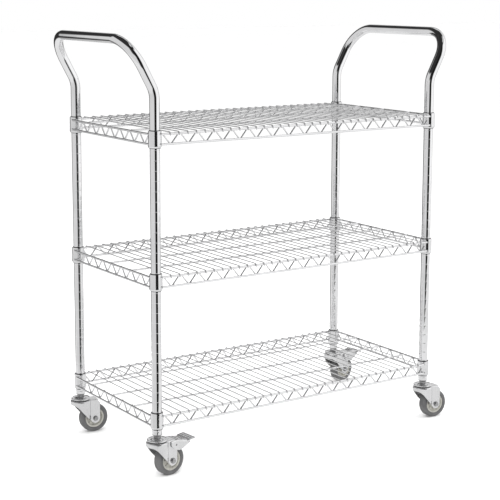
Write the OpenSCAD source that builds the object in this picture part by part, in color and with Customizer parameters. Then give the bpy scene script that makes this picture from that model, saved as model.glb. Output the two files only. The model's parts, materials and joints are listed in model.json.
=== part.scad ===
// Three-tier wire shelf cart: two bent tube handles, four grooved posts, three welded wire
// shelves on split sleeves, and four swivel casters, two of them with a pedal brake.
// Millimetres. X runs along the shelves, Y across them, Z up from the floor.

/* [Shelves] */
// Shelf length, over the rim wires
shelf_length = 914; // [760:1:1220]
// Shelf depth, over the rim wires
shelf_depth = 457; // [356:1:610]
// Height of the lowest collar's top above the floor
first_tier = 170; // [170:1:260]
// Height from one shelf to the next, a whole number of post grooves
tier_pitch = 355.6; // [254:25.4:406.4]
// Distance between the deck wires
deck_pitch = 25.4; // [20:0.1:40]
// Deck wire diameter
deck_wire = 3; // [2.5:0.1:4]
// Support wire diameter
support_wire = 5; // [4:0.1:6]
// Rim wire diameter
rim_wire = 5.8; // [5:0.1:6.5]
// Zigzag wire diameter
truss_wire = 4; // [3:0.1:4.5]
// Length of one zigzag wave
truss_wave = 50.8; // [45:0.1:60]
// How far the long zigzags sit off centre
truss_offset = 6; // [0:1:10]

/* [Posts and handles] */
// Post and handle tube diameter
tube_d = 25.4; // [24:0.1:26]
// Tube wall
tube_wall = 1.3; // [1:0.1:2]
// Distance between the post's ring grooves
groove_pitch = 25.4; // [20:0.1:30]
// Height of a collar
collar_h = 42; // [38:1:46]
// Height from the top collar to where a handle leg starts to lean
handle_straight = 76; // [40:1:150]
// Lean of the handle away from the shelves, in degrees
handle_lean = 28.5; // [10:0.5:45]
// Length of the straight leaning part of a leg
handle_reach = 50; // [20:1:120]
// Bend radius where a leg starts to lean
lean_radius = 70; // [40:1:100]
// Bend radius at the grip bar's corners
grip_radius = 78; // [40:1:100]

/* [Casters] */
// Wheel diameter
wheel_d = 80; // [70:1:80]
// Tread width
tread_w = 25; // [20:1:26]
// Distance from the swivel axis to the axle
trail = 36; // [32:1:38]
// Angles to which the casters have swivelled: front left, back left, back right, front right
caster_turn = [6, -5, 10, -5];

/* [Hidden] */
$fn = 48;
// Clearance between pieces that touch, and how much a bend swells and laps over the straights it joins.
eps = 0.05;
swell = 0.05;
lap = 0.5;

TIERS = ["bottom", "middle", "top"];
CORNERS = ["front_left", "back_left", "back_right", "front_right"];
CORNER_SIGNS = [[-1, -1], [-1, 1], [1, 1], [1, -1]];
BRAKED = [0, 2];
TIER_PARTS = ["collars", "rim", "truss", "deck"];
CASTER_PARTS = ["stem", "cap", "bearing", "fork", "axle", "hub", "tyre"];
BRAKE_PARTS = ["pedal", "shoe", "rivets"];

tube_r = tube_d / 2;
bore_r = tube_r - tube_wall;

// Posts stand in from the rim's outer face.
post_inset = 17.5;
post_x = shelf_length / 2 - post_inset;
post_y = shelf_depth / 2 - post_inset;
post_bottom = 114;
groove_depth = 0.7;
groove_half = 1.1;
top_tier = first_tier + tier_pitch * (len(TIERS) - 1);
tube_joint = top_tier - collar_h / 2;

// Heights on a shelf, down from its collar's top.
rim_drop = 8;
rim_gap = 25;
rim_out = post_inset - rim_wire / 2;
collar_top_r = 16.4;
collar_foot_r = 17;
sleeve_top_r = 14.2;
sleeve_foot_r = 15.2;
sleeve_proud = 1.4;
wire_end = 9.2;

// The deck wires lie on the long rim wires, and hook down round their outsides.
hook_r = (rim_wire + deck_wire) / 2 + eps;
hook_leg = 4;
deck_rise = hook_r;
weld_sink = 0.5;
support_rise = deck_rise - (deck_wire + support_wire) / 2 + weld_sink;
deck_count = floor((post_x - 24) / deck_pitch);
support_y = post_y * 0.54;

// A zigzag whose rounded bends reach both rim wires: the leg angle sets the bend radius.
truss_angle = 50;
truss_in = (rim_wire + truss_wire) / 2 + eps;
truss_bend = (tan(truss_angle) * truss_wave / 2 - rim_gap) / (2 / cos(truss_angle) - 2);
truss_leg = truss_wave / 2 / cos(truss_angle) - 2 * truss_bend * tan(truss_angle);

// Caster heights.
axle_z = wheel_d / 2;
axle_r = 4;
fork_top = 94.5;
fork_wall = 2.5;
fork_r = 28.5;
fork_half = 18;
fork_end = 50;
fork_lip = 84;
fork_corner = 84;
roof_end = 44;
stem_r = 6;
stem_top = 148;
cap_z = 96.6;
cap_h = 7.6;
cap_r = 26.5;
nut_h = 6;
hub_r = 27;
spin_gap = 0.08;
axle_foot = 13;

// Pedal brake: the lever turns on two rivets through the fork's cheeks.
rivet_u = 44;
rivet_z = 81;
rivet_r = 2.5;
lever_wall = 2;
lever_gap = 0.4;
lever_half = fork_half + lever_gap + lever_wall;
tread_half = 26;
brake_travel = 12;
tread_gap = 0.3;

// An arc's points, from one angle to another about a centre.
function arc(centre, r, from, to, steps = 8) =
    [for (i = [0:steps]) let (a = from + (to - from) * i / steps)
        centre + r * [cos(a), sin(a)]];

module at_posts() {
    for (s = CORNER_SIGNS) translate([s.x * post_x, s.y * post_y, 0]) children();
}

module at_caster(i) {
    translate([CORNER_SIGNS[i].x * post_x, CORNER_SIGNS[i].y * post_y, 0])
        rotate([0, 0, caster_turn[i]]) children();
}

// A cylinder from z = low to z = high.
module rod(r, low, high) {
    translate([0, 0, low]) cylinder(r = r, h = high - low);
}

// A cylinder along Y, centred.
module rod_y(r, length) {
    rotate([90, 0, 0]) cylinder(r = r, h = length, center = true);
}

// A plate outline in the X-Z plane, centred across Y.
module side_plate(points, width) {
    rotate([90, 0, 0]) linear_extrude(width, center = true) polygon(points);
}

// ---------- posts and handles ----------

module tube_ring(grow = 0) {
    difference() {
        circle(tube_r + grow);
        circle(bore_r - grow);
    }
}

// A straight tube from low to high, lapping into the bends at its ends.
module tube_run(low, high) {
    translate([0, 0, low]) linear_extrude(high - low) tube_ring();
}

// A tube with a ring groove at every step up from its foot.
module post() {
    grooves = floor((tube_joint - post_bottom - 5) / groove_pitch);
    color("gainsboro") rotate_extrude() polygon(concat(
        [[bore_r, post_bottom], [tube_r, post_bottom]],
        [for (i = [0:grooves]) let (z = post_bottom + 8 + i * groove_pitch)
            each [[tube_r, z - groove_half], [tube_r - groove_depth, z], [tube_r, z + groove_half]]],
        [[tube_r, tube_joint], [bore_r, tube_joint]]
    ));
}

module tube_bend(radius, angle) {
    translate([radius, 0, 0]) rotate([90, 0, 180])
        rotate_extrude(angle = angle) translate([radius, 0]) tube_ring(swell);
}

// One leg of the right-hand handle, from the post joint to the end of the grip bar's corner.
module handle_leg() {
    lean_start = top_tier + handle_straight;
    translate([0, -post_y, 0]) {
        tube_run(tube_joint, lean_start + lap);
        translate([0, 0, lean_start]) {
            tube_bend(lean_radius, handle_lean);
            translate([lean_radius * (1 - cos(handle_lean)), 0, lean_radius * sin(handle_lean)])
                rotate([0, handle_lean, 0]) {
                    tube_run(-lap, handle_reach + lap);
                    translate([0, 0, handle_reach]) rotate([0, 0, 90]) tube_bend(grip_radius, 90);
                }
        }
    }
}

module handle(side) {
    grip_half = post_y - grip_radius + lap;
    leaning = handle_reach + grip_radius;
    color("gainsboro") mirror([side < 0 ? 1 : 0, 0, 0]) translate([post_x, 0, 0]) {
        handle_leg();
        mirror([0, 1, 0]) handle_leg();
        translate([
            lean_radius * (1 - cos(handle_lean)) + leaning * sin(handle_lean), 0,
            top_tier + handle_straight + lean_radius * sin(handle_lean) + leaning * cos(handle_lean)
        ]) rotate([90, 0, 0]) tube_run(-grip_half, grip_half);
    }
}

// Plugs inside the tubes that join each handle leg to its post.
module handle_couplers() {
    color("darkgray") at_posts() difference() {
        rod(bore_r - eps, tube_joint - 40, tube_joint + 45);
        rod(bore_r - 2, tube_joint - 41, tube_joint + 46);
    }
}

// Flanged sockets in the posts' feet that hold the caster stems.
module stem_sockets() {
    color("silver") at_posts() difference() {
        union() {
            rod(tube_r, post_bottom - 2, post_bottom);
            rod(bore_r - eps, post_bottom - 1, stem_top + 6);
        }
        rod(stem_r + eps, post_bottom - 3, stem_top + 1);
    }
}

// ---------- shelves: drawn with the collar's top at z = 0 ----------

module collars() {
    color("gainsboro") at_posts() rotate_extrude() polygon([
        [sleeve_top_r + eps, 0], [collar_top_r - 0.8, 0], [collar_top_r, -0.8],
        [collar_foot_r, 4 - collar_h], [collar_foot_r - 2, 1 - collar_h], [collar_foot_r - 2, -collar_h],
        [sleeve_foot_r - 0.5, -collar_h], [sleeve_foot_r - 0.5, 2 - collar_h]
    ]);
}

// Two half sleeves, wedged between a post and its collar.
module sleeve_pair() {
    color("black") difference() {
        rotate_extrude() polygon([
            [tube_r + eps, sleeve_proud], [sleeve_top_r, sleeve_proud], [sleeve_top_r, 0],
            [sleeve_foot_r - 0.6, 2 - collar_h], [sleeve_foot_r - 0.6, -collar_h - sleeve_proud],
            [tube_r + eps, -collar_h - sleeve_proud]
        ]);
        translate([0, 0, -collar_h / 2]) cube([1, 40, collar_h + 10], center = true);
    }
}

// Upper and lower wires on each side, welded between the collars.
module rim() {
    for (z = [-rim_drop, -rim_drop - rim_gap], s = [-1, 1]) color("gainsboro") {
        translate([0, s * (post_y + rim_out), z]) rotate([0, 90, 0])
            cylinder(d = rim_wire, h = 2 * (post_x - wire_end), center = true);
        translate([s * (post_x + rim_out), 0, z]) rod_y(rim_wire / 2, 2 * (post_y - wire_end));
    }
}

// One bend of the zigzag: the outside of the bend is at the origin, facing up.
module truss_peak() {
    translate([0, 0, -truss_bend]) rotate([90, 0, 0]) rotate([0, 0, 90 - truss_angle])
        rotate_extrude(angle = 2 * truss_angle) translate([truss_bend, 0]) circle(truss_wire / 2 + swell);
}

// A leg down from a peak to the next valley, from tangent to tangent.
module truss_slope(length) {
    translate([truss_bend * sin(truss_angle), 0, -truss_bend * (1 - cos(truss_angle))])
        rotate([0, 90 + truss_angle, 0]) rod(truss_wire / 2, -lap, length + lap);
}

// A zigzag wire centred on x = 0, with its peaks on the upper rim wire.
module zigzag(peaks, offset, half_span) {
    first = offset - (peaks - 1) / 2 * truss_wave;
    for (i = [0:peaks - 1]) translate([first + i * truss_wave, 0, 0]) {
        truss_peak();
        truss_slope(truss_leg);
        mirror([1, 0, 0]) truss_slope(truss_leg);
    }
    for (i = [0:peaks]) translate([first + (i - 0.5) * truss_wave, 0, -rim_gap])
        mirror([0, 0, 1]) truss_peak();
    // The end legs rise from the last valleys to the collars.
    for (s = [-1, 1]) {
        valley = first + (s > 0 ? peaks - 0.5 : -0.5) * truss_wave;
        run = half_span - s * valley - truss_bend * sin(truss_angle);
        translate([valley, 0, -rim_gap]) mirror([0, 0, 1]) mirror([s < 0 ? 1 : 0, 0, 0])
            truss_slope(min(truss_leg, run / cos(truss_angle)));
    }
}

module truss() {
    long_peaks = floor((post_x - 30) * 2 / truss_wave);
    short_peaks = floor((post_y - 30) * 2 / truss_wave);
    color("gainsboro") translate([0, 0, -rim_drop]) {
        for (s = [-1, 1]) {
            translate([0, s * (post_y + rim_out - truss_in), 0])
                zigzag(long_peaks, truss_offset, post_x - collar_top_r + 2);
            translate([s * (post_x + rim_out - truss_in), 0, 0]) rotate([0, 0, 90])
                zigzag(short_peaks, 0, post_y - collar_top_r + 2);
        }
    }
}

// A quarter turn round the rim wire, then a short leg down its outside.
module deck_hook() {
    rotate([0, -90, 0]) rotate_extrude(angle = 90) translate([hook_r, 0]) circle(d = deck_wire);
    translate([0, hook_r, -hook_leg]) cylinder(d = deck_wire, h = hook_leg);
}

module deck_wire_across() {
    translate([0, 0, deck_rise]) rod_y(deck_wire / 2, 2 * (post_y + rim_out));
    for (m = [0, 1]) mirror([0, m, 0]) translate([0, post_y + rim_out, 0]) deck_hook();
}

// Wires across the shelf, welded on top of three long support wires.
module deck() {
    color("gainsboro") translate([0, 0, -rim_drop]) {
        for (i = [-deck_count:deck_count]) translate([i * deck_pitch, 0, 0]) deck_wire_across();
        for (s = [-1:1]) translate([0, s * support_y, support_rise]) rotate([0, 90, 0])
            cylinder(d = support_wire, h = 2 * (post_x + rim_out - rim_wire / 2 - eps), center = true);
    }
}

// ---------- casters: drawn with the swivel axis on Z and the wheel towards +X ----------

// Stud, its nut, and the head that keeps the fork on it.
module stem() {
    color("silver") {
        rod(stem_r, fork_top - fork_wall - 2, stem_top);
        rod(stem_r + 3, fork_top - fork_wall - 5, fork_top - fork_wall - 0.4);
        translate([0, 0, cap_z + cap_h]) cylinder(r = 10.4, h = nut_h, $fn = 6);
    }
}

// Upper bearing plate, fixed to the stem.
module cap() {
    top = cap_z + cap_h;
    color("gainsboro") rotate_extrude() polygon([
        [stem_r + eps, cap_z], [cap_r - 2, cap_z], [cap_r, cap_z + 1.2], [cap_r, cap_z + 3.4],
        [cap_r - 2.5, top - 1.4], [12, top - eps], [stem_r + eps, top - eps]
    ]);
}

// Ring of the ball race between the bearing plate and the fork.
module bearing() {
    color("dimgray") difference() {
        rod(cap_r - 2.5, fork_top + eps, cap_z - 0.3);
        rod(13, fork_top - 1, cap_z + 1);
    }
}

// Side outline of the fork: a lip round the race, swooping down to the axle.
function fork_side() = concat(
    [[-fork_r - 2, fork_lip], [-22, fork_lip - 2], [-14, 75], [-5, 64], [8, 49.5]],
    arc([trail, axle_z], axle_foot, 205, 360, 14),
    [[fork_end, fork_corner], [roof_end, fork_top + 1], [-fork_r - 2, fork_top + 1]]
);

// One pressed shell: a round cup over the race, running into two flat cheeks.
module fork() {
    low = axle_z - axle_foot - 1;
    color("gainsboro") difference() {
        intersection() {
            union() {
                rod(fork_r, low, fork_top);
                translate([0, -fork_half, low]) cube([fork_end, 2 * fork_half, fork_top - low]);
            }
            side_plate(fork_side(), 2 * fork_r + 2);
        }
        rod(fork_r - fork_wall, low - 1, fork_top - fork_wall);
        translate([0, fork_wall - fork_half, low - 1])
            cube([fork_end + 1, 2 * (fork_half - fork_wall), fork_top - fork_wall - low + 1]);
        rod(stem_r + spin_gap, fork_top - fork_wall - 1, fork_top + 1);
        translate([trail, 0, axle_z]) rod_y(axle_r + eps, 2 * fork_half + 2);
        translate([rivet_u, 0, rivet_z]) rod_y(rivet_r + eps, 2 * fork_half + 2);
        // The roof stops short of the cheeks' ends.
        translate([roof_end, fork_wall - fork_half, 60]) cube([20, 2 * (fork_half - fork_wall), 60]);
    }
}

// Axle bolt with a washer face and head on one side and a nut on the other.
module axle() {
    color("silver") translate([trail, 0, axle_z]) {
        rod_y(axle_r, 2 * fork_half + 8);
        translate([0, -fork_half - 1 - eps, 0]) rod_y(7.5, 2);
        translate([0, -fork_half - 3.5, 0]) rotate([90, 0, 0])
            cylinder(r = 6.5, h = 4, $fn = 6, center = true);
        translate([0, fork_half + 2.5 + eps, 0]) rotate([90, 0, 0])
            cylinder(r = 6.8, h = 5, $fn = 6, center = true);
    }
}

// Wheel centre with a rim, a thinner web and a long bearing barrel.
module hub() {
    barrel = fork_half - fork_wall - 0.4;
    half = tread_w / 2 - 1;
    color("beige") translate([trail, 0, axle_z]) rotate([90, 0, 0]) rotate_extrude() polygon([
        [axle_r + spin_gap, -barrel], [9.5, -barrel], [11, -half], [11, -5], [22.5, -5], [23.5, -half],
        [hub_r, -half], [hub_r, half],
        [23.5, half], [22.5, 5], [11, 5], [11, half], [9.5, barrel], [axle_r + spin_gap, barrel]
    ]);
}

// Tread with a nearly flat crown and rounded shoulders.
module tyre() {
    half = tread_w / 2;
    shoulder = 5;
    color("dimgray") translate([trail, 0, axle_z]) rotate([90, 0, 0]) rotate_extrude() polygon(concat(
        [[hub_r + eps, -half + 1], [hub_r + 1, -half]],
        arc([axle_z - shoulder - 0.3, shoulder - half], shoulder, -90, 0),
        [[axle_z, -4], [axle_z, 4]],
        arc([axle_z - shoulder - 0.3, half - shoulder], shoulder, 0, 90),
        [[hub_r + 1, half], [hub_r + eps, half - 1]]
    ));
}

// Lever with two side flanges, a slotted web and a wide ribbed foot plate.
module pedal() {
    color("gainsboro") difference() {
        union() {
            difference() {
                side_plate([
                    [29, 90.5], [44, 92.5], [88, 83.5], [86, 80], [64, 68], [54, 65], [40, 70], [30, 78]
                ], 2 * lever_half);
                side_plate([[20, 100], [48, 100], [48, 89.3], [90, 80.8], [90, 55], [20, 55]],
                    2 * (lever_half - lever_wall));
            }
            side_plate([[79, 85.2], [80, 88], [102, 91.5], [102.6, 89.6], [86, 83.6]], 2 * tread_half);
            for (u = [82, 88, 94, 100]) translate([u, 0, 88.3 + (u - 80) * 0.16])
                rod_y(1.1, 2 * tread_half - 4);
        }
        for (u = [56, 68]) translate([u, 0, 86]) cube([6, 2 * fork_half - 12, 16], center = true);
        translate([rivet_u, 0, rivet_z]) rod_y(rivet_r + spin_gap, 2 * lever_half + 2);
    }
}

// Brake block under the web, its foot hollowed to sit over the tread when the pedal is down.
module shoe() {
    color("dimgray") difference() {
        side_plate([[50, 88.8], [64, 86], [64, 72], [50, 74]], 22);
        translate([rivet_u, 0, rivet_z]) rotate([0, -brake_travel, 0])
            translate([trail - rivet_u, 0, axle_z - rivet_z]) rod_y(axle_z + tread_gap, 24);
    }
}

// The two short rivets on which the lever turns.
module rivets() {
    color("silver") for (s = [-1, 1]) translate([rivet_u, s * (fork_half + 1.1), rivet_z]) {
        rod_y(rivet_r, 8.2);
        translate([0, s * 3.1, 0]) rod_y(rivet_r + 2, 2);
    }
}

// ---------- nodes ----------

handle(-1);  // handle_left
handle(1);  // handle_right
handle_couplers();
stem_sockets();
for (i = [0:3]) {
    translate([CORNER_SIGNS[i].x * post_x, CORNER_SIGNS[i].y * post_y, 0]) post();
    for (t = [0:len(TIERS) - 1])
        translate([
                CORNER_SIGNS[i].x * post_x, CORNER_SIGNS[i].y * post_y, first_tier + t * tier_pitch
            ]) sleeve_pair();
    at_caster(i) stem();
    at_caster(i) cap();
    at_caster(i) bearing();
    at_caster(i) fork();
    at_caster(i) axle();
    at_caster(i) hub();
    at_caster(i) tyre();
}
for (i = BRAKED) {
    at_caster(i) pedal();
    at_caster(i) shoe();
    at_caster(i) rivets();
}
for (t = [0:len(TIERS) - 1]) translate([0, 0, first_tier + t * tier_pitch]) {
    collars();
    rim();
    truss();
    deck();
}
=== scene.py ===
import json
import math

import bmesh
import bpy
from mathutils import Matrix, Vector


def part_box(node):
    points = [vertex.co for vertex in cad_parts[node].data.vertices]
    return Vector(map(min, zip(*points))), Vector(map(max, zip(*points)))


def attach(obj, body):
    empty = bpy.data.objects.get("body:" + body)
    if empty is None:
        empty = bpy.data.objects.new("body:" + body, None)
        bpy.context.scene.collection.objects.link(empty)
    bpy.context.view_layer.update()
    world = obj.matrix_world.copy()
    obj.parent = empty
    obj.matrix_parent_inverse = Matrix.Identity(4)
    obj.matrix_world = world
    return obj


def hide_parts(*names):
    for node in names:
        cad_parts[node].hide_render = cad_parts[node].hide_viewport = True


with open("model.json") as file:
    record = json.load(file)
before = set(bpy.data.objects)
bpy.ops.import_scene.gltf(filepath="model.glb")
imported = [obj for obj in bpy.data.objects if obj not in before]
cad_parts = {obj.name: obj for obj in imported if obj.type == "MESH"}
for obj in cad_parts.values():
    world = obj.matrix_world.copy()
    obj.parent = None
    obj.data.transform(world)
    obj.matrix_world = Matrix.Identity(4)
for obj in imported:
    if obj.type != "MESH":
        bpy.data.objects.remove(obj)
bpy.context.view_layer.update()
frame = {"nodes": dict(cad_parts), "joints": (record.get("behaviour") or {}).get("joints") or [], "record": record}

# ---------- names and places, from the frame ----------

CORNERS = ("front_left", "back_left", "back_right", "front_right")
BRAKED = ("front_left", "back_right")
TIERS = ("bottom", "middle", "top")
JOINTS = {joint["name"]: joint for joint in frame["joints"]}
MM = 0.001
FIT = 0.05 * MM  # left open between pieces that fit each other
MERGE = 0.01 * MM  # points closer than this become one
UP = Vector((0, 0, 1))


def box_centre(node):
    low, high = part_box(node)
    return (low + high) / 2


POSTS = {c: Vector((box_centre("post_" + c).x, box_centre("post_" + c).y, 0)) for c in CORNERS}
POST_X = POSTS["back_right"].x
POST_Y = POSTS["back_right"].y
POST_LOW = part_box("post_front_left")[0].z
POST_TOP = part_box("post_front_left")[1].z
TUBE_R = (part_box("post_front_left")[1].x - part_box("post_front_left")[0].x) / 2
TIER_TOP = {t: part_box("collars_" + t)[1].z for t in TIERS}
COLLAR_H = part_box("collars_top")[1].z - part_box("collars_top")[0].z


def caster_place(corner):
    """From a caster's own axes (trail along X, swivel axis on Z) to the cart's."""
    axis = JOINTS["roll_" + corner]["axis"]
    turn = math.atan2(-axis[0], axis[1])
    return Matrix.Translation(POSTS[corner]) @ Matrix.Rotation(turn, 4, "Z")


AXLE = Vector(JOINTS["roll_front_left"]["pos_m"])
TRAIL = (AXLE - POSTS["front_left"]).to_2d().length
AXLE_Z = AXLE.z
ON_AXLE = Matrix.Translation((TRAIL, 0, AXLE_Z)) @ Matrix.Rotation(math.radians(90), 4, "X")


# ---------- mesh building ----------

def arc(centre, radius, start, stop, steps):
    """Points of a plane arc, angles in degrees."""
    angles = [math.radians(start + (stop - start) * i / steps) for i in range(steps + 1)]
    return [(centre[0] + radius * math.cos(a), centre[1] + radius * math.sin(a)) for a in angles]


def round_path(corners, radii, steps):
    """A path through corner points, each inner corner rounded to its radius."""
    path = [corners[0].copy()]
    for before, corner, after, radius in zip(corners, corners[1:], corners[2:], radii):
        way_in = (corner - before).normalized()
        way_out = (after - corner).normalized()
        turn = way_in.angle(way_out)
        centre = corner + (way_out - way_in).normalized() * radius / math.cos(turn / 2)
        spoke = corner - way_in * radius * math.tan(turn / 2) - centre
        axis = way_in.cross(way_out)
        for i in range(steps + 1):
            path.append(centre + Matrix.Rotation(turn * i / steps, 3, axis) @ spoke)
    path.append(corners[-1].copy())
    return path


class Shape:
    """Surfaces gathered into one mesh."""

    def __init__(self, place=Matrix.Identity(4)):
        self.place = place
        self.points = []
        self.faces = []

    def grid(self, rows, wrap_rows=False, wrap_columns=False, skip=None):
        """Quads between rows of points, each row as long as the next."""
        first = len(self.points)
        wide = len(rows[0])
        for row in rows:
            self.points += [self.place @ Vector(point) for point in row]
        for i in range(len(rows) if wrap_rows else len(rows) - 1):
            for j in range(wide if wrap_columns else wide - 1):
                if skip and skip(i, j):
                    continue
                near, far = i * wide, (i + 1) % len(rows) * wide
                self.faces.append([first + k for k in (
                    near + j, far + j, far + (j + 1) % wide, near + (j + 1) % wide)])
        return first

    def cap(self, indices):
        self.faces.append(list(indices))

    def sweep(self, path, radius, sides):
        """A round wire or rod along a path, with slightly rounded ends."""
        heads = [(path[i + 1] - path[i]).normalized() for i in range(len(path) - 1)]
        heads = [heads[0]] + [(a + b).normalized() for a, b in zip(heads, heads[1:])] + [heads[-1]]
        side = heads[0].orthogonal().normalized()
        rounding = 0.25
        rows = []
        for i, (point, head) in enumerate(zip(path, heads)):
            side = (side - head * side.dot(head)).normalized()
            other = head.cross(side)
            ring = [point + radius * (math.cos(a) * side + math.sin(a) * other)
                    for a in (2 * math.pi * k / sides for k in range(sides))]
            if i == 0:
                rows.append([p.lerp(point, rounding) for p in ring])
                ring = [p + head * radius * rounding for p in ring]
            if i == len(path) - 1:
                rows.append([p - head * radius * rounding for p in ring])
                ring = [p.lerp(point, rounding) for p in ring]
            rows.append(ring)
        first = self.grid(rows, wrap_columns=True)
        last = first + (len(rows) - 1) * sides
        self.cap(range(first, first + sides))
        self.cap(reversed(range(last, last + sides)))

    def lathe(self, profile, segments, at=Matrix.Identity(4), closed=True, start=0, stop=360):
        """A profile of (radius, height) turned about Z, in whole or from one angle to
        another. A closed profile joins its last point to its first."""
        whole = stop - start == 360
        count = segments if whole else segments + 1
        rows = []
        for i in range(count):
            a = math.radians(start + (stop - start) * i / segments)
            rows.append([at @ Vector((r * math.cos(a), r * math.sin(a), z)) for r, z in profile])
        first = self.grid(rows, wrap_rows=whole, wrap_columns=closed)
        if not whole:
            wide = len(profile)
            self.cap(reversed(range(first, first + wide)))
            self.cap(range(first + (count - 1) * wide, first + count * wide))

    def bead(self, at, size, axis=UP):
        """A small weld bead: an egg whose size is (radius, half-length along axis)."""
        turn = UP.rotation_difference(axis).to_matrix().to_4x4()
        flat = Matrix.Translation(at) @ turn @ Matrix.Diagonal((size[0], size[0], size[1], 1))
        steps, segments = 6, 10
        side = [(math.sin(a), -math.cos(a)) for a in (math.pi * k / steps for k in range(1, steps))]
        self.lathe([(0, -1)] + side + [(0, 1)], segments, flat, closed=False)

    def hexagon(self, radius, low, high, chamfer):
        """A bolt head or nut along Z, its corners cut back at both faces."""
        inner = radius - chamfer * 1.6
        profile = [(0, low), (inner, low), (radius, low + chamfer), (radius, high - chamfer),
                   (inner, high), (0, high)]
        self.lathe(profile, 6, closed=False)

    def make(self, name, body, slot, replaces=(), sharp=35, thick=0, bevel=0):
        """Makes the finished object, riding on its body. Edges past sharp degrees stay crisp, and a
        bare sheet is given its thickness."""
        mesh = bpy.data.meshes.new(name)
        mesh.from_pydata(self.points, [], self.faces)
        soup = bmesh.new()
        soup.from_mesh(mesh)
        bmesh.ops.remove_doubles(soup, verts=soup.verts, dist=MERGE)
        bmesh.ops.dissolve_degenerate(soup, edges=soup.edges, dist=MERGE)
        if not thick:
            bmesh.ops.recalc_face_normals(soup, faces=soup.faces)
        soup.to_mesh(mesh)
        soup.free()
        mesh.shade_smooth()
        mesh.set_sharp_from_angle(angle=math.radians(sharp))
        piece = bpy.data.objects.new(name, mesh)
        bpy.context.scene.collection.objects.link(piece)
        if thick:
            skin = piece.modifiers.new("thickness", "SOLIDIFY")
            skin.thickness = thick
            skin.offset = -1
        if bevel:
            soften(piece, bevel)
        mesh.materials.append(MATERIALS[slot])
        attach(piece, body)
        if replaces:
            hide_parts(*replaces)


def soften(piece, width):
    """Small rounded edges."""
    edge = piece.modifiers.new("edges", "BEVEL")
    edge.width = width
    edge.segments = 2
    edge.limit_method = "ANGLE"
    edge.angle_limit = math.radians(40)
    edge.harden_normals = True


# ---------- materials ----------

class Nodes:
    """A material or world tree with short ways to add its nodes."""

    def __init__(self, tree):
        self.tree = tree

    def add(self, kind, values=None, **settings):
        node = self.tree.nodes.new(kind)
        for name, value in settings.items():
            setattr(node, name, value)
        for name, value in (values or {}).items():
            self.put(node.inputs[name], value)
        return node

    def put(self, socket, value):
        """Links another node's output to a socket, or sets a plain value on it."""
        if isinstance(value, bpy.types.NodeSocket):
            self.tree.links.new(value, socket)
        else:
            socket.default_value = value

    def maths(self, operation, *values):
        node = self.add("ShaderNodeMath", operation=operation)
        for socket, value in zip(node.inputs, values):
            self.put(socket, value)
        return node.outputs[0]

    def span(self, value, low, high, to_low=0.0, to_high=1.0):
        """A value eased from one range to another."""
        node = self.add("ShaderNodeMapRange", interpolation_type="SMOOTHSTEP")
        for socket, number in zip(node.inputs, (value, low, high, to_low, to_high)):
            self.put(socket, number)
        return node.outputs[0]

    def place(self, scale=(1, 1, 1)):
        """The piece's own coordinates in metres, stretched by scale."""
        where = self.add("ShaderNodeTexCoord").outputs["Object"]
        return self.add("ShaderNodeMapping", {"Vector": where, "Scale": scale}).outputs[0]

    def noise(self, where, scale, detail):
        node = self.add("ShaderNodeTexNoise", {"Vector": where, "Scale": scale, "Detail": detail})
        return node.outputs[0]

    def blend(self, share, a, b):
        """Colour a where share is 0, and b where it is 1."""
        node = self.add("ShaderNodeMix", data_type="RGBA")
        for socket, value in ((node.inputs[0], share), (node.inputs[6], a), (node.inputs[7], b)):
            self.put(socket, value)
        return node.outputs[2]

    def bump(self, height, strength, distance, under=None):
        values = {"Height": height, "Strength": strength, "Distance": distance}
        node = self.add("ShaderNodeBump", values)
        if under is not None:
            self.put(node.inputs["Normal"], under)
        return node.outputs[0]


NEUTRAL = (1, 1, 1)
COOL = (1, 1, 1.01)
CREAM = (1, 0.985, 0.90)


def rgb(value, tint=NEUTRAL):
    return tuple(value * t for t in tint) + (1.0,)


def material(name):
    made = bpy.data.materials.new(name)
    made.use_nodes = True
    return made, Nodes(made.node_tree), made.node_tree.nodes["Principled BSDF"]


def plated(name, light, dark, smooth, rough, grain, stretch=(1, 1, 1), metal=1.0):
    """Plated metal: its colour is hazed between light and dark, its gloss is worn between smooth
    and rough, and a stretch below 1 draws its fine grain out along that axis."""
    made, nodes, shader = material(name)
    where = nodes.place()
    haze = nodes.noise(where, scale=14, detail=4)
    wear = nodes.noise(where, scale=160, detail=5)
    share = nodes.span(haze, 0.38, 0.66)
    nodes.put(shader.inputs["Base Color"], nodes.blend(share, rgb(light, COOL), rgb(dark, COOL)))
    mixed = nodes.maths("ADD", nodes.maths("MULTIPLY", haze, 0.5), nodes.maths("MULTIPLY", wear, 0.5))
    nodes.put(shader.inputs["Roughness"], nodes.span(mixed, 0.36, 0.64, smooth, rough))
    drawn = nodes.noise(nodes.place(stretch), scale=900, detail=2)
    ripple = nodes.bump(haze, strength=0.05, distance=0.8 * MM)
    skin = nodes.bump(drawn, strength=grain, distance=0.05 * MM, under=ripple)
    nodes.put(shader.inputs["Normal"], skin)
    shader.inputs["Metallic"].default_value = metal
    return made


def moulded(name, light, dark, smooth, rough, grain, scale, tint=NEUTRAL):
    """Moulded plastic or rubber: a matt skin with fine grain and slightly uneven colour."""
    made, nodes, shader = material(name)
    where = nodes.place()
    cloud = nodes.noise(where, scale=60, detail=4)
    skin = nodes.noise(where, scale=scale, detail=3)
    share = nodes.span(cloud, 0.35, 0.68)
    nodes.put(shader.inputs["Base Color"], nodes.blend(share, rgb(light, tint), rgb(dark, tint)))
    nodes.put(shader.inputs["Roughness"], nodes.span(skin, 0.35, 0.65, smooth, rough))
    nodes.put(shader.inputs["Normal"], nodes.bump(skin, strength=grain, distance=0.1 * MM))
    return made


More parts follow.
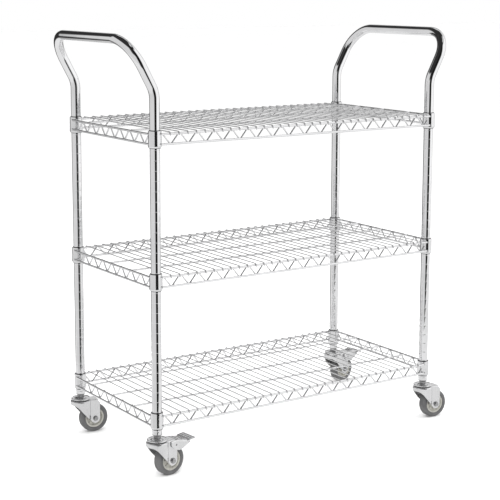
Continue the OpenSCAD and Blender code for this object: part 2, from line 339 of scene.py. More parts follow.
METALS = {
    "chrome_tube": dict(light=0.90, dark=0.84, smooth=0.03, rough=0.07, grain=0.10,
                        stretch=(1, 1, 0.03)),
    "chrome_collar": dict(light=0.88, dark=0.80, smooth=0.08, rough=0.15, grain=0.15),
    "chrome_wire": dict(light=0.90, dark=0.84, smooth=0.06, rough=0.12, grain=0.12),
    "zinc_pressed": dict(light=0.76, dark=0.70, smooth=0.13, rough=0.18, grain=0.08,
                         stretch=(1, 1, 0.2), metal=0.88),
    "zinc_bright": dict(light=0.44, dark=0.35, smooth=0.20, rough=0.32, grain=0.25, metal=0.88),
    "steel_plain": dict(light=0.55, dark=0.42, smooth=0.30, rough=0.45, grain=0.3),
    "race_dark": dict(light=0.12, dark=0.06, smooth=0.30, rough=0.50, grain=0.3),
}
MOULDINGS = {
    "black_plastic": dict(light=0.022, dark=0.012, smooth=0.35, rough=0.5, grain=0.2, scale=1800),
    "hub_plastic": dict(light=0.52, dark=0.43, smooth=0.35, rough=0.5, grain=0.15, scale=1500,
                        tint=CREAM),
    "tyre_grey": dict(light=0.115, dark=0.09, smooth=0.45, rough=0.62, grain=0.3, scale=1300,
                      tint=COOL),
    "brake_rubber": dict(light=0.07, dark=0.05, smooth=0.5, rough=0.7, grain=0.3, scale=1300),
}
MATERIALS = {name: plated(name, **look) for name, look in METALS.items()}
MATERIALS.update({name: moulded(name, **look) for name, look in MOULDINGS.items()})


# ---------- handles and posts ----------

LEAN = math.radians(28.5)
LEAN_RADIUS = 70 * MM
GRIP_RADIUS = 78 * MM
GROOVE_PITCH = 25.4 * MM
GROOVE_FIRST = 8 * MM
GROOVE_DEPTH = 0.25 * MM
GROOVE_HALF = 0.8 * MM
TUBE_WALL = 1.3 * MM
TUBE_SIDES = 56


def build_handle(name, side):
    """One tube, up from the front post, leaning outwards, across, and down to the back post."""
    low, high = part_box(name)
    grip_x = side * (max(abs(low.x), abs(high.x)) - TUBE_R)
    grip_z = high.z - TUBE_R
    foot = Vector((side * POST_X, -POST_Y, low.z))
    corner = Vector((grip_x, -POST_Y, grip_z))
    knee = Vector((foot.x, foot.y, grip_z - abs(grip_x - foot.x) / math.tan(LEAN)))
    half = [foot, knee, corner]
    corners = half + [Vector((p.x, -p.y, p.z)) for p in reversed(half)]
    path = round_path(corners, [LEAN_RADIUS, GRIP_RADIUS, GRIP_RADIUS, LEAN_RADIUS], steps=28)
    shape = Shape()
    shape.sweep(path, TUBE_R, TUBE_SIDES)
    shape.make(name + "_tube", "frame", "chrome_tube", [name])


def groove(z):
    """A rolled ring groove with soft lips: a bell-shaped dip in the tube's outline."""
    steps = (-1.7, -1.2, -0.8, -0.4, 0, 0.4, 0.8, 1.2, 1.7)
    depth = [GROOVE_DEPTH * math.exp(-2.2 * s * s) for s in steps]
    return [(TUBE_R - d, z + s * GROOVE_HALF) for s, d in zip(steps, depth)]


def build_post(corner):
    profile = [(TUBE_R - TUBE_WALL, POST_LOW), (TUBE_R, POST_LOW)]
    count = int((POST_TOP - POST_LOW - GROOVE_FIRST) / GROOVE_PITCH)
    for i in range(count + 1):
        profile += groove(POST_LOW + GROOVE_FIRST + i * GROOVE_PITCH)
    profile += [(TUBE_R, POST_TOP), (TUBE_R - TUBE_WALL, POST_TOP)]
    shape = Shape(Matrix.Translation(POSTS[corner]))
    shape.lathe(profile, TUBE_SIDES)
    shape.make("post_tube_" + corner, "frame", "chrome_tube", ["post_" + corner], sharp=50)


# ---------- shelves ----------

RIM_R = 2.9 * MM
RIM_DROP = 8 * MM
RIM_GAP = 25 * MM
RIM_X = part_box("rim_top")[1].x - RIM_R
RIM_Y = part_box("rim_top")[1].y - RIM_R
RIM_WELD_PROUD = 0.35 * MM
COLLAR_R = 16.4 * MM
COLLAR_ROUND = 0.9 * MM
COLLAR_FOOT_R = 17 * MM
SLEEVE_R = 14.2 * MM
SLEEVE_PROUD = 1.4 * MM
SLEEVE_SLIT = 4  # degrees between the two halves
WIRE_END = 9.2 * MM
DECK_R = 1.5 * MM
DECK_PITCH = 25.4 * MM
DECK_SIDE_COUNT = int((POST_X - 24 * MM) / DECK_PITCH)
SUPPORT_R = 2.5 * MM
SUPPORT_SHARE = 0.54
WELD_SINK = 0.5 * MM
TRUSS_R = 2 * MM
TRUSS_WAVE = 50.8 * MM
TRUSS_ANGLE = math.radians(50)
TRUSS_OFFSET = 6 * MM
TRUSS_END = 30 * MM
TRUSS_SINK = 2 * MM
TRUSS_BEND = (math.tan(TRUSS_ANGLE) * TRUSS_WAVE / 2 - RIM_GAP) / (2 / math.cos(TRUSS_ANGLE) - 2)
TRUSS_IN = RIM_R + TRUSS_R


def build_collars(tier):
    """Slightly tapered collars with a rounded top and a turned-in foot."""
    top = TIER_TOP[tier]
    low = top - COLLAR_H
    profile = [(SLEEVE_R + 0.1 * MM, top - 0.4 * MM), (SLEEVE_R + 0.6 * MM, top)]
    profile += arc((COLLAR_R - COLLAR_ROUND, top - COLLAR_ROUND), COLLAR_ROUND, 90, 0, 5)
    profile += [(COLLAR_R + 0.1 * MM, top - 6 * MM), (COLLAR_R + 0.25 * MM, low + 12 * MM)]
    profile += [(COLLAR_FOOT_R - cut * MM, low + rise * MM)
                for cut, rise in ((0.1, 6), (0, 4.6), (0.5, 2.4), (1.6, 0.9), (2.1, 0))]
    profile += [(SLEEVE_R + 0.6 * MM, low)]
    shape = Shape()
    for corner in CORNERS:
        shape.lathe(profile, 56, Matrix.Translation(POSTS[corner]))
    shape.make("collar_rings_" + tier, "frame", "chrome_collar", ["collars_" + tier])


def build_sleeves(corner):
    """Split plastic sleeves: a lip shows above and below each collar."""
    shape = Shape(Matrix.Translation(POSTS[corner]))
    inner = TUBE_R + FIT
    for tier in TIERS:
        top = TIER_TOP[tier] + SLEEVE_PROUD
        low = TIER_TOP[tier] - COLLAR_H - SLEEVE_PROUD
        profile = [(inner, low), (SLEEVE_R - 0.1 * MM, low), (SLEEVE_R + 0.1 * MM, low + 0.4 * MM),
                   (SLEEVE_R, top - SLEEVE_PROUD), (SLEEVE_R, top - 0.5 * MM),
                   (SLEEVE_R - 0.5 * MM, top), (inner, top)]
        for split in (90, 270):
            shape.lathe(profile, 28, start=split + SLEEVE_SLIT / 2, stop=split + 180 - SLEEVE_SLIT / 2)
    nodes = [name for name in frame["nodes"] if name.startswith("sleeves_") and name.endswith(corner)]
    shape.make("sleeve_halves_" + corner, "frame", "black_plastic", nodes)


def build_rim(tier):
    """An upper and a lower wire along each side, with a weld where each meets its collar."""
    shape = Shape()
    weld_x = POST_X - math.sqrt(COLLAR_R ** 2 - (RIM_Y - POST_Y) ** 2)
    weld_y = POST_Y - math.sqrt(COLLAR_R ** 2 - (RIM_X - POST_X) ** 2)
    size = (RIM_R + RIM_WELD_PROUD, 2.2 * MM)
    for z in (TIER_TOP[tier] - RIM_DROP, TIER_TOP[tier] - RIM_DROP - RIM_GAP):
        for side in (-1, 1):
            long_wire = [Vector((s * (POST_X - WIRE_END), side * RIM_Y, z)) for s in (-1, 1)]
            short_wire = [Vector((side * RIM_X, s * (POST_Y - WIRE_END), z)) for s in (-1, 1)]
            shape.sweep(long_wire, RIM_R, sides=20)
            shape.sweep(short_wire, RIM_R, sides=20)
            for s in (-1, 1):
                long_end = Vector((s * weld_x, side * (RIM_Y - RIM_WELD_PROUD), z))
                short_end = Vector((side * (RIM_X - RIM_WELD_PROUD), s * weld_y, z))
                shape.bead(long_end, size, Vector((1, 0, 0)))
                shape.bead(short_end, size, Vector((0, 1, 0)))
    shape.make("rim_wires_" + tier, "frame", "chrome_wire", ["rim_" + tier])


def zigzag(count, offset, half_span):
    """Corner points of one zigzag wire: (distance along it, height over the upper rim wire)."""
    over = TRUSS_BEND * (1 / math.cos(TRUSS_ANGLE) - 1)
    first = offset - (count - 1) / 2 * TRUSS_WAVE
    corners = []
    for i in range(count + 1):
        corners.append((first + (i - 0.5) * TRUSS_WAVE, -RIM_GAP - over))
        if i < count:
            corners.append((first + i * TRUSS_WAVE, over))
    reach = TRUSS_WAVE / 2 - TRUSS_BEND * math.sin(TRUSS_ANGLE)
    ends = []
    for side, (valley, depth) in ((-1, corners[0]), (1, corners[-1])):
        run = min(reach, half_span - side * valley)
        ends.append((valley + side * run, depth + run * math.tan(TRUSS_ANGLE)))
    return [ends[0]] + corners + [ends[1]]


def build_truss(tier):
    """A zigzag wire just inside the rim wires of each side, welded to them at every bend."""
    shape = Shape()
    top = TIER_TOP[tier] - RIM_DROP
    for side in (-1, 1):
        for along, outward, rim, half_length, offset in (
            (Vector((1, 0, 0)), Vector((0, side, 0)), RIM_Y, POST_X, TRUSS_OFFSET),
            (Vector((0, 1, 0)), Vector((side, 0, 0)), RIM_X, POST_Y, 0),
        ):
            count = int((half_length - TRUSS_END) * 2 / TRUSS_WAVE)
            corners = zigzag(count, offset, half_length - COLLAR_R + TRUSS_SINK)
            middle = outward * (rim - TRUSS_IN) + UP * top
            path = round_path([middle + along * a + UP * z for a, z in corners],
                              [TRUSS_BEND] * (len(corners) - 2), steps=8)
            shape.sweep(path, TRUSS_R, sides=14)
            for a, z in corners[1:-1]:
                bend = middle + along * a + UP * (-RIM_GAP if z < 0 else 0)
                shape.bead(bend + outward * TRUSS_R, (1.9 * MM, 0.9 * MM), outward)
    shape.make("truss_wires_" + tier, "frame", "chrome_wire", ["truss_" + tier])


def build_deck(tier):
    """Wires across the shelf, hooked over its long rim wires and welded to three supports."""
    low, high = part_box("deck_" + tier)
    wire_z = high.z - DECK_R
    hook_y = high.y - DECK_R
    hook_r = hook_y - RIM_Y
    support_z = wire_z - DECK_R - SUPPORT_R + WELD_SINK
    supports = [s * SUPPORT_SHARE * POST_Y for s in (-1, 0, 1)]
    shape = Shape()
    for i in range(-DECK_SIDE_COUNT, DECK_SIDE_COUNT + 1):
        x = i * DECK_PITCH
        half = [Vector((x, -hook_y, low.z)), Vector((x, -hook_y, wire_z))]
        corners = half + [Vector((p.x, -p.y, p.z)) for p in reversed(half)]
        shape.sweep(round_path(corners, [hook_r, hook_r], steps=8), DECK_R, sides=12)
        for y in (-RIM_Y, RIM_Y):
            shape.bead(Vector((x, y, wire_z - DECK_R)), (1.5 * MM, 0.7 * MM))
        for y in supports:
            shape.bead(Vector((x, y, wire_z - DECK_R)), (1.7 * MM, 0.8 * MM))
    for y in supports:
        shape.sweep([Vector((low.x, y, support_z)), Vector((high.x, y, support_z))], SUPPORT_R, sides=18)
    shape.make("deck_wires_" + tier, "frame", "chrome_wire", ["deck_" + tier])


# ---------- casters ----------

FORK_TOP = 94.5 * MM
FORK_WALL = 2.5 * MM
FORK_R = 28.5 * MM
FORK_HALF = 18 * MM
FORK_END = 50 * MM
FORK_CORNER = 84 * MM
ROOF_END = 44 * MM
ROOF_ROUND = 3.6 * MM
FOOT_R = 13 * MM
END_SLOPE = 50
CAP_R = 26.5 * MM
CAP_LOW = 96.6 * MM
CAP_TOP = 104.15 * MM
CAP_ROLL = 2.2 * MM
STEM_R = 6 * MM
THREAD_PITCH = 1.25 * MM
NUT_R = 10.4 * MM
NUT_HEIGHT = 6 * MM
AXLE_R = 4 * MM
WASHER_R = 7.5 * MM
HUB_R = 27 * MM
SPOKES = 8
SPOKE_HALF = 0.8 * MM
TYRE_HALF = 12.5 * MM
TYRE_SHOULDER = 5.4 * MM
# The fork's lower edge from its cup down to its foot: (distance along the trail, height).
SWOOP = [(u * MM, z * MM)
         for u, z in ((-30.5, 84), (-22, 82), (-14, 75), (-5, 64), (8, 49.5), (24.2, 34.5))]


def smooth_height(points, u):
    """Height at u on a smooth curve through points of (u, height)."""
    i = next(k for k in range(len(points) - 1) if u <= points[k + 1][0])
    (a, low), (b, high) = points[i], points[i + 1]
    before = points[max(i - 1, 0)]
    after = points[min(i + 2, len(points) - 1)]
    rise = b - a
    t = max((u - a) / rise, 0)
    tangent_a = (high - before[1]) / (b - before[0]) * rise
    tangent_b = (after[1] - low) / (after[0] - a) * rise
    return ((2 * t ** 3 - 3 * t ** 2 + 1) * low + (t ** 3 - 2 * t ** 2 + t) * tangent_a
            + (-2 * t ** 3 + 3 * t ** 2) * high + (t ** 3 - t ** 2) * tangent_b)


def fork_low(u):
    """Height of the fork's lower edge at a distance along the trail: the swoop, then a round foot
    under the axle, then steeply up at the far end."""
    if u >= TRAIL + FOOT_R:
        return AXLE_Z + (u - TRAIL - FOOT_R) * END_SLOPE
    if u >= SWOOP[-1][0]:
        return AXLE_Z - math.sqrt(FOOT_R ** 2 - (u - TRAIL) ** 2)
    return smooth_height(SWOOP, u)


CHEEK_STEPS = 28
END_STEPS = 3
CUP_STEPS = 56
WALL_STEPS = 12
SHOULDER_STEPS = 6


def fork_plan():
    """Points round the fork seen from above: (u, v, outward u, outward v, u of the roof's midline)."""
    fold = math.acos(math.sqrt(FORK_R ** 2 - FORK_HALF ** 2) / FORK_R)
    fold_u = FORK_R * math.cos(fold)
    eased = [(1 - math.cos(math.pi * i / CHEEK_STEPS)) / 2 for i in range(CHEEK_STEPS + 1)]
    cheek = [fold_u + (TRAIL + FOOT_R - fold_u) * share for share in eased]
    foot = cheek[-1]
    cheek += [foot + (FORK_END - foot) * (i + 1) / END_STEPS for i in range(END_STEPS)]
    plan = [(u, FORK_HALF, 0, 1, u) for u in reversed(cheek)]
    for i in range(1, CUP_STEPS):
        a = fold + (2 * math.pi - 2 * fold) * i / CUP_STEPS
        near = max(0, 1 - (min(a, 2 * math.pi - a) - fold) / (math.pi / 2 - fold))
        out_u, out_v = math.cos(a), math.sin(a)
        plan.append((FORK_R * out_u, FORK_R * out_v, out_u, out_v, fold_u * near))
    plan += [(u, -FORK_HALF, 0, -1, u) for u in cheek]
    return plan


def fork_section(u, v, out_u, out_v, mid, inset):
    """The fork's section at one plan point, from its lower edge up and over to the midline, at a
    depth of inset below its outer skin."""
    beyond = max(0, u - ROOF_END) / (FORK_END - ROOF_END)
    full = FORK_TOP - ROOF_ROUND
    wall_top = full - (full - FORK_CORNER) * beyond ** 1.3
    low = min(fork_low(u), wall_top - 1 * MM)
    turn = ROOF_ROUND - inset
    sides = [(inset, low + (wall_top - low) * k / WALL_STEPS) for k in range(WALL_STEPS + 1)]
    sides += [(ROOF_ROUND - turn * math.cos(a), wall_top + turn * math.sin(a))
              for a in (math.pi / 2 * k / SHOULDER_STEPS for k in range(1, SHOULDER_STEPS + 1))]
    row = [(u - out_u * d, v - out_v * d, z) for d, z in sides]
    edge = row[-1]
    return row + [(edge[0] + (mid - edge[0]) * k, edge[1] * (1 - k), edge[2]) for k in (0.4, 0.75, 1)]


def build_fork(corner, body):
    """One pressed shell: cheeks, cup and roof, with a rolled shoulder between them."""
    plan = fork_plan()
    rows = []
    for place in plan:
        rows.append(list(reversed(fork_section(*place, FORK_WALL))) + fork_section(*place, 0))
    wide = len(rows[0])
    half = wide // 2
    open_top = [place[0] > ROOF_END + 0.1 * MM for place in plan]

    def absent(i, j):
        above_wall = min(j, wide - 2 - j) < half - 1 - WALL_STEPS
        return above_wall and (open_top[i] or open_top[i + 1])

    shape = Shape(caster_place(corner))
    first = shape.grid(rows, skip=absent)

    def edge_strip(i, sections):
        """Closes the sheet's edge across row i, between its two skins."""
        start = first + i * wide
        for k in sections:
            shape.cap(start + c for c in (half - 1 - k, half - 2 - k, half + k + 1, half + k))

    for i in (0, len(rows) - 1):
        edge_strip(i, range(WALL_STEPS))
    for i in range(len(rows) - 1):
        if open_top[i] != open_top[i + 1]:
            edge_strip(i if open_top[i + 1] else i + 1, range(WALL_STEPS, half - 1))
        if open_top[i] or open_top[i + 1]:
            near, far = first + i * wide, first + (i + 1) * wide
            inner, outer = half - 1 - WALL_STEPS, half + WALL_STEPS
            shape.cap((near + inner, near + outer, far + outer, far + inner))
    shape.make("fork_shell_" + corner, body, "zinc_pressed", ["fork_" + corner], sharp=25)


def build_cap(corner):
    """Upper bearing plate: a rolled rim round a shallow dish that rises to the nut."""
    profile = [(STEM_R + FIT, CAP_LOW), (CAP_R - 4 * MM, CAP_LOW)]
    profile += arc((CAP_R - CAP_ROLL, CAP_LOW + 2.6 * MM), CAP_ROLL, -60, 120, 12)
    profile += [(CAP_R - 5.5 * MM, CAP_LOW + 3.6 * MM), (CAP_R - 8 * MM, CAP_LOW + 3.8 * MM)]
    profile += [(13.5 * MM, CAP_TOP - 1.2 * MM), (12 * MM, CAP_TOP - 0.2 * MM), (10.5 * MM, CAP_TOP)]
    profile += [(STEM_R + FIT, CAP_TOP)]
    shape = Shape(caster_place(corner))
    shape.lathe(profile, 64)
    shape.make("bearing_plate_" + corner, "frame", "zinc_pressed", ["cap_" + corner])


def build_stem(corner):
    """Threaded stud with its nut above the bearing plate and its head inside the fork."""
    low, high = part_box("stem_" + corner)
    head_top = FORK_TOP - FORK_WALL - 0.5 * MM
    thread_low, thread_high = CAP_TOP + 5.5 * MM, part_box("stem_sockets")[0].z + 2 * MM
    profile = [(0, low.z), (STEM_R + 2.2 * MM, low.z), (STEM_R + 3 * MM, low.z + 0.8 * MM),
               (STEM_R + 3 * MM, head_top), (STEM_R, head_top), (STEM_R, thread_low)]
    for i in range(int((thread_high - thread_low) / THREAD_PITCH)):
        z = thread_low + i * THREAD_PITCH
        profile += [(STEM_R - 0.7 * MM, z + 0.35 * MM), (STEM_R, z + 0.9 * MM)]
    profile += [(STEM_R, high.z - 0.8 * MM), (STEM_R - 0.8 * MM, high.z), (0, high.z)]
    shape = Shape(caster_place(corner))
    shape.lathe(profile, 32, closed=False)
    shape.hexagon(NUT_R, CAP_TOP + FIT, CAP_TOP + FIT + NUT_HEIGHT, chamfer=0.8 * MM)
    shape.make("stud_" + corner, "frame", "zinc_bright", ["stem_" + corner], sharp=30)


def build_axle(corner, body):
    """Bolt through the wheel: washer and hex head on one cheek, hex nut on the other."""
    shape = Shape(caster_place(corner) @ ON_AXLE)
    half = FORK_HALF + 4 * MM
    tip = half + 1.6 * MM
    shape.lathe([(0, -tip), (AXLE_R - 0.8 * MM, -tip), (AXLE_R, 0.8 * MM - tip),
                 (AXLE_R, half - 2 * MM), (0, half - 2 * MM)], 32, closed=False)
    cheek = FORK_HALF + FIT
    bore = AXLE_R + 0.1 * MM
    shape.lathe([(bore, cheek), (WASHER_R - 0.2 * MM, cheek), (WASHER_R, cheek + 0.3 * MM),
                 (WASHER_R, cheek + 1.4 * MM), (WASHER_R - 0.5 * MM, cheek + 1.7 * MM),
                 (bore, cheek + 1.7 * MM)], 40)
    shape.hexagon(6.5 * MM, cheek + 1.6 * MM, cheek + 5.4 * MM, chamfer=0.7 * MM)
    shape.hexagon(6.8 * MM, -cheek - 4.9 * MM, -cheek, chamfer=0.7 * MM)
    shape.make("axle_bolt_" + corner, body, "zinc_bright", ["axle_" + corner], sharp=30)


def build_hub(corner, body):
    """Wheel centre: grooved rim faces, a recessed web with spokes, and a long barrel."""
    barrel = (FORK_HALF - FORK_WALL) / MM - 0.4
    rim, web, bore = 11.5, 5, 4.08
    half = [(bore, barrel), (9, barrel), (9.6, barrel - 0.6), (11, 10.6), (11.6, 5.6),
            (12.4, web), (21.2, web), (22, 5.6), (22.6, rim - 0.6), (23.2, rim),
            (23.7, rim), (23.9, rim - 1.6), (25, rim - 1.6), (25.2, rim),
            (HUB_R / MM - 0.5, rim), (HUB_R / MM, rim - 0.5)]
    half = [(r * MM, z * MM) for r, z in half]
    shape = Shape(caster_place(corner) @ ON_AXLE)
    shape.lathe(half + [(r, -z) for r, z in reversed(half)], 72)
    spoke = [(10.6, 9.6), (22.7, 8.6), (22.7, 4.6), (10.6, 4.6)]
    for i in range(SPOKES):
        turn = Matrix.Rotation(2 * math.pi * i / SPOKES, 4, "Z")
        for side in (-1, 1):
            skins = [[turn @ Vector((r * MM, across, side * z * MM)) for r, z in spoke]
                     for across in (SPOKE_HALF, -SPOKE_HALF)]
            first = shape.grid(skins, wrap_columns=True)
            shape.cap(range(first, first + 4))
            shape.cap(reversed(range(first + 4, first + 8)))
    shape.make("wheel_centre_" + corner, body, "hub_plastic", ["hub_" + corner], sharp=30)


def build_tyre(corner, body):
    """Solid tread: a nearly flat crown with a mould line, round shoulders and stepped sides."""
    crown = AXLE_Z
    side = [(HUB_R + rise * MM, TYRE_HALF - cut * MM)
            for rise, cut in ((0.05, 1.2), (0.5, 0.5), (1.6, 0.2), (2, 0.6), (2.4, 0.2), (3, 0))]
    centre = (TYRE_HALF - TYRE_SHOULDER, crown - TYRE_SHOULDER - 0.25 * MM)
    side += [(r, z) for z, r in arc(centre, TYRE_SHOULDER, 0, 84, 12)]
    side += [(crown - 0.02 * MM, 3.5 * MM), (crown, 0.35 * MM)]
    profile = side + [(crown - 0.12 * MM, 0)] + [(r, -z) for r, z in reversed(side)]
    shape = Shape(caster_place(corner) @ ON_AXLE)
    shape.lathe(profile, 96)
    shape.make("tread_" + corner, body, "tyre_grey", ["tyre_" + corner], sharp=30)


# ---------- pedal brakes: outlines in millimetres, along the trail, across it and up ----------

LEVER_HALF = 20.4
LEVER_WALL = 2
LEVER_BEND = 2.6
LEVER_TOP = ((29, 90.5), (44, 92.5), (88, 83.5))
LEVER_LOW = ((29, 84), (30, 78), (40, 70), (47, 67), (54, 65.4), (64, 68), (86, 80), (88, 82.8))
LEVER_STATIONS = (29, 30, 32, 35, 38, 41, 44, 46, 48, 49.5, 51, 53, 55, 57, 59, 61, 63, 65, 67, 69,
                  71, 74, 77, 80, 83, 86, 88)
WEB_START = 48
SLOTS = ((53, 59), (65, 71))
SLOT_HALF = 12
TREAD_HALF = 26
TREAD_START = 79
TREAD_LENGTH = 23.4
TREAD_WALL = 2.2
TREAD_RIBS = (84.5, 91.5, 98.2)
RIB_HEIGHT = 1.1
RIB_WIDTH = 1.1
RIVET_R = 2.5
RIVET_HEAD_R = 4.3
RIVET = Vector((44 * MM, 0, 81 * MM))


def between(points, u):
    """Height on a line of straight stretches."""
    for (a, low), (b, high) in zip(points, points[1:]):
        if u <= b:
            return low + (high - low) * (u - a) / (b - a)
    return points[-1][1]


def build_lever(corner, body):
    """A folded channel: two flanges and a slotted web between them."""
    steps = 5
    rows = []
    for u in LEVER_STATIONS:
        high, foot = between(LEVER_TOP, u), between(LEVER_LOW, u)
        wall_top, web_edge = high - LEVER_BEND, LEVER_HALF - LEVER_BEND
        wall = [(u, LEVER_HALF, foot + (wall_top - foot) * k / steps) for k in range(steps + 1)]
        wall += [(u, web_edge + LEVER_BEND * math.cos(a), wall_top + LEVER_BEND * math.sin(a))
                 for a in (math.pi / 2 * k / steps for k in range(1, steps + 1))]
        row = wall + [(u, v, high) for v in (15, SLOT_HALF, 6, 0)]
        row += [(a, -b, c) for a, b, c in reversed(row[:-1])]
        rows.append([tuple(x * MM for x in point) for point in row])
    wide = len(rows[0])
    fold = len(wall) - 1

    def absent(i, j):
        on_web = fold - 2 <= j < wide - 1 - (fold - 2)
        if on_web and LEVER_STATIONS[i] < WEB_START:
            return True
        middle = fold + 1 <= j < wide - 1 - (fold + 1)
        return middle and any(a <= LEVER_STATIONS[i] < b for a, b in SLOTS)

    shape = Shape(caster_place(corner))
    shape.grid(rows, skip=absent)
    shape.make("brake_lever_" + corner, body, "zinc_pressed", ["pedal_" + corner], sharp=30,
               thick=LEVER_WALL * MM, bevel=0.3 * MM)


def tread_height(u):
    """Height of the foot plate between its ribs: it rises from the lever, then nearly levels out."""
    past = u - TREAD_START
    return 86.6 + 3.6 * (1 - math.exp(-past / 9)) + 0.02 * past


def tread_half(u):
    """Half the foot plate's width: it widens from the lever and ends in rounded corners."""
    tip = max(0, u - 99) / 3.4
    return TREAD_HALF - 2.6 * (1 - math.sqrt(max(0, 1 - tip ** 2))) - max(0, 82 - u) * 0.5


def build_tread_plate(corner, body):
    """The foot plate at the lever's end, with pressed ribs across it that fade out at its sides."""
    steps, columns = 84, 9
    rows = []
    for i in range(steps + 1):
        u = TREAD_START + TREAD_LENGTH * i / steps
        rib = sum(RIB_HEIGHT * math.exp(-((u - middle) / RIB_WIDTH) ** 2) for middle in TREAD_RIBS)
        base, half = tread_height(u), tread_half(u)
        rows.append([(u * MM, half * MM * k / columns, (base + rib * min(1, (9.6 - abs(k)) / 1.6)) * MM)
                     for k in range(-columns, columns + 1)])
    shape = Shape(caster_place(corner))
    shape.grid(rows)
    shape.make("brake_tread_" + corner, body, "zinc_pressed", sharp=60,
               thick=TREAD_WALL * MM, bevel=0.5 * MM)


def build_rivets(corner, body):
    """The rivets that the lever turns on, with low domed heads outside its flanges."""
    shape = Shape(caster_place(corner))
    inner, outer = FORK_HALF / MM - 3, LEVER_HALF + 0.1
    profile = [(0, inner), (RIVET_R, inner), (RIVET_R, outer), (RIVET_HEAD_R, outer)]
    profile += [(r, outer + 0.3 + z * 0.5) for r, z in arc((0, 0), RIVET_HEAD_R, 0, 90, 8)]
    profile = [(r * MM, z * MM) for r, z in profile]
    for side in (-1, 1):
        turn = Matrix.Translation(RIVET) @ Matrix.Rotation(-side * math.pi / 2, 4, "X")
        shape.lathe(profile, 32, turn, closed=False)
    shape.make("rivet_heads_" + corner, body, "zinc_bright", ["rivets_" + corner], sharp=40)


# ---------- the frame's own nodes ----------

def dress_nodes():
    """Materials for all of them, and small rounded edges for those that stay in sight."""
    slots = {row["node"]: row["material_slot"] for row in frame["record"]["subparts"]}
    for name, node in frame["nodes"].items():
        node.data.materials.clear()
        node.data.materials.append(MATERIALS[slots[name]])
        if not node.hide_render:
            node.data.set_sharp_from_angle(angle=math.radians(30))
            soften(node, 0.25 * MM)


# ---------- studio, in metres ----------

FLOOR_HALF = 30
PAPER = ((-1.6, 0.9), (-0.51, -0.6), (0.2, -1.58), (1.3, -3.1), (3.5, -3.1), (3.5, 0.9))
# What the metal sees of the room, each patch laid over those before it: its brightness, then where
# it starts and ends in azimuth and in height, with the softness of its edges. Angles in degrees.
ALL_ROUND = (-200, 200, 1)
ROOM = 0.72
PATCHES = (
    (0.85, ALL_ROUND, (-120, -26, 6)),  # everything low
    (1.02, (-72, 4, 3), (-70, 55, 6)),  # bright screen on the right of the camera
    (0.42, (14, 44, 3), (-30, -2, 3)),  # dim strip low behind the cart's right end
    (0.03, (72, 124, 5), (16, 90, 4)),  # dark high behind the cart
    (0.03, (30, 74, 5), (30, 39, 4)),  # narrow dark bar beside it
    (0.04, (-145, -80, 4), (12, 62, 4)),  # dark over and round the camera
    (0.03, (-200, -130, 4), (36, 90, 4)),  # dark high on the left, up to the half turn
    (0.03, (120, 200, 4), (36, 90, 4)),  # and past it
    (0.03, ALL_ROUND, (57, 120, 4)),  # dark ceiling
    (0.9, (-70, 0, 8), (66, 74, 2)),  # bright slot in the ceiling
    (0.012, (-124, -76, 3), (-26, 70, 4)),  # black gap in front
    (0.03, (78, 114, 3), (-26, 20, 4)),  # dark gap behind
)
WORLD_LIGHT = 1.15
LAMPS = (
    ("key", (-2.5, -3.0, 3.6), (2.5, 2.0), 90),
    ("fill", (3.2, -1.5, 2.8), (2.0, 2.5), 45),
    ("top", (0, 0.5, 4.2), (3.5, 3.0), 70),
)
LAMP_AIM = Vector((0, 0, 0.5))
CAMERA_AT = (-2.107, -3.107, 1.236)
CAMERA_YAW = math.radians(33.92)
CAMERA_PITCH = math.radians(-8.95)
CAMERA_ROLL = math.radians(0.15)
CAMERA_LENS = 99.06


def stage_sheet(name, outline, height):
    """A flat sheet of the studio, from its outline seen from above."""
    mesh = bpy.data.meshes.new(name)
    mesh.from_pydata([(x, y, height) for x, y in outline], [], [list(range(len(outline)))])
    sheet = bpy.data.objects.new(name, mesh)
    bpy.context.scene.collection.objects.link(sheet)
    made, nodes, shader = material(name + "_paper")
    mesh.materials.append(made)
    return sheet, nodes, shader


def build_floor():
    """White paper that takes the shadows, and that the metal doesn't reflect."""
    corners = ((-1, -1), (1, -1), (1, 1), (-1, 1))
    outline = [(x * FLOOR_HALF, y * FLOOR_HALF) for x, y in corners]
    floor, nodes, shader = stage_sheet("floor", outline, 0)
    paper = nodes.noise(nodes.place(), scale=3, detail=2)
    tone = nodes.blend(nodes.span(paper, 0.3, 0.7), rgb(0.93), rgb(0.915))
    nodes.put(shader.inputs["Base Color"], tone)
    shader.inputs["Roughness"].default_value = 0.9
    shader.inputs["Specular IOR Level"].default_value = 0.1
    floor.visible_glossy = False


def build_reflected_paper():
    """The paper as the metal sees it, and nothing else does: past its edges the room is darker."""
    sheet, nodes, shader = stage_sheet("reflected_paper", PAPER, -1 * MM)
    paper = nodes.noise(nodes.place(), scale=2, detail=2)
    tone = nodes.blend(nodes.span(paper, 0.3, 0.7), rgb(0.86), rgb(0.80))
    nodes.put(shader.inputs["Base Color"], rgb(0))
    nodes.put(shader.inputs["Emission Color"], tone)
    shader.inputs["Emission Strength"].default_value = 1.0
    shader.inputs["Specular IOR Level"].default_value = 0
    for ray in ("camera", "diffuse", "transmission", "shadow"):
        setattr(sheet, "visible_" + ray, False)


def band(nodes, value, low, high, soft):
    """1 between two angles, easing to 0 outside them. Angles in degrees."""
    rise = nodes.span(value, math.radians(low - soft), math.radians(low + soft))
    fall = nodes.span(value, math.radians(high - soft), math.radians(high + soft), 1.0, 0.0)
    return nodes.maths("MULTIPLY", rise, fall)


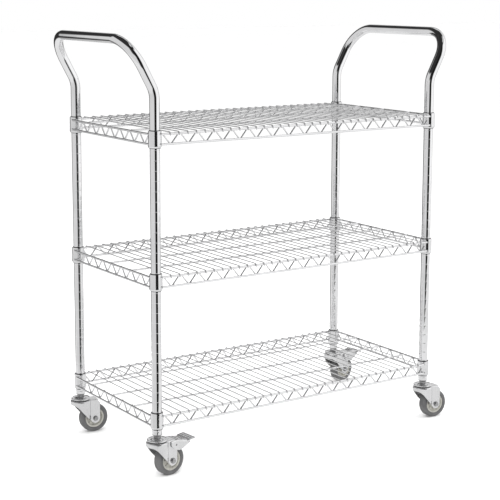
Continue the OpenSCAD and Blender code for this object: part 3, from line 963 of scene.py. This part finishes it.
def build_world():
    """A white room for the eye, and for the metal a studio of pale screens with dark gaps."""
    world = bpy.data.worlds.new("studio")
    world.use_nodes = True
    bpy.context.scene.world = world
    nodes = Nodes(world.node_tree)
    back = world.node_tree.nodes["Background"]
    way = nodes.add("ShaderNodeTexCoord").outputs["Generated"]
    parts = nodes.add("ShaderNodeSeparateXYZ", {"Vector": way}).outputs
    azimuth = nodes.maths("ARCTAN2", parts["Y"], parts["X"])
    height = nodes.maths("ARCSINE", parts["Z"])
    tone = rgb(ROOM)
    for brightness, turn, rise in PATCHES:
        share = nodes.maths("MULTIPLY", band(nodes, azimuth, *turn), band(nodes, height, *rise))
        tone = nodes.blend(share, tone, rgb(brightness))
    path = nodes.add("ShaderNodeLightPath").outputs
    tone = nodes.blend(path["Is Diffuse Ray"], tone, rgb(WORLD_LIGHT))
    tone = nodes.blend(path["Is Camera Ray"], tone, rgb(1.0))
    nodes.put(back.inputs["Color"], tone)


def build_lamp(name, at, size, power):
    """A soft lamp that lights the matt pieces and stays out of the metal's reflections."""
    data = bpy.data.lights.new(name, "AREA")
    data.shape = "RECTANGLE"
    data.size, data.size_y = size
    data.energy = power
    lamp = bpy.data.objects.new(name, data)
    lamp.location = at
    lamp.rotation_euler = (LAMP_AIM - lamp.location).to_track_quat("-Z", "Y").to_euler()
    lamp.visible_glossy = False
    bpy.context.scene.collection.objects.link(lamp)


def build_camera():
    """Standing in front and to the left of the cart, a little above its handles."""
    data = bpy.data.cameras.new("camera")
    data.sensor_width = 36
    data.lens = CAMERA_LENS
    data.shift_y = -0.1
    data.clip_end = 100
    camera = bpy.data.objects.new("camera", data)
    camera.location = CAMERA_AT
    turn = Matrix.Rotation(-CAMERA_YAW, 3, "Z") @ Matrix.Rotation(math.pi / 2 + CAMERA_PITCH, 3, "X")
    camera.rotation_euler = (turn @ Matrix.Rotation(CAMERA_ROLL, 3, "Z")).to_euler()
    bpy.context.scene.collection.objects.link(camera)
    bpy.context.scene.camera = camera


# ---------- everything together ----------

bpy.context.scene.view_settings.view_transform = "Standard"
build_camera()
build_world()
build_floor()
build_reflected_paper()
for lamp in LAMPS:
    build_lamp(*lamp)

build_handle("handle_left", -1)
build_handle("handle_right", 1)
for corner in CORNERS:
    build_post(corner)
    build_fork(corner, "swivel_" + corner)
    build_axle(corner, "swivel_" + corner)
    build_cap(corner)
    build_stem(corner)
    build_hub(corner, "wheel_" + corner)
    build_tyre(corner, "wheel_" + corner)
    build_sleeves(corner)
for corner in BRAKED:
    build_lever(corner, "brake_" + corner)
    build_tread_plate(corner, "brake_" + corner)
    build_rivets(corner, "swivel_" + corner)
for tier in TIERS:
    build_collars(tier)
    build_rim(tier)
    build_truss(tier)
    build_deck(tier)
dress_nodes()
